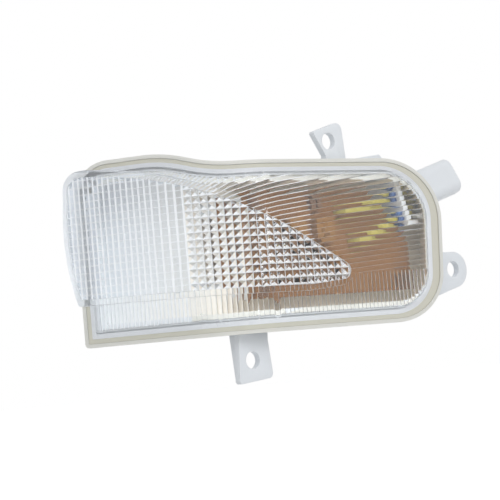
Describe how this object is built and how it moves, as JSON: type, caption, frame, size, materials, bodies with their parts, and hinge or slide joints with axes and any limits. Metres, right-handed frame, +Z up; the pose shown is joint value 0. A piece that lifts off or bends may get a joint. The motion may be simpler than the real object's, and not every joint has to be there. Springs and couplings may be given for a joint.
{
  "type": "mirror turn signal lamp",
  "caption": "Wrap-round door mirror indicator lamp: white housing with screw ears and a two-pin socket, clear fluted lens with a raised prism fin.",
  "frame": {"origin": "centre of the lower screw hole, in the ears' front face", "axes": "+Y backwards into the mirror, -Y out through the flat front of the lens, +X along the front towards the connector, +Z up"},
  "size_m": [0.1433, 0.0626, 0.0831],
  "materials": {
    "housing": "smooth moulded, slightly see-through white",
    "lens": "clear, polished outside, fluted and prismatic inside",
    "sealant": "cured sealant",
    "board": "phenolic laminate",
    "screw": "zinc plated",
    "light_source": "cast resin",
    "component": "moulded, tinned ends",
    "solder": "bright solder",
    "wire": "yellow-green insulation",
    "wire_seal": "ribbed blue silicone",
    "pin": "tinned",
    "membrane": "woven vent membrane"
  },
  "bodies": {
    "root": {"rear_housing": "housing", "front_lens": "lens", "seal_bead": "sealant", "circuit_board": "board", "board_screws": "screw", "led_1": "light_source", "led_2": "light_source", "led_3": "light_source", "led_4": "light_source", "led_5": "light_source", "led_6": "light_source", "resistor_1": "component", "resistor_2": "component", "diode_1": "component", "solder_joints": "solder", "lead_wire_upper": "wire", "lead_wire_lower": "wire", "wire_seal_upper": "wire_seal", "wire_seal_lower": "wire_seal", "terminal_pin_upper": "pin", "terminal_pin_lower": "pin", "vent_patch": "membrane"}
  },
  "joints": []
}
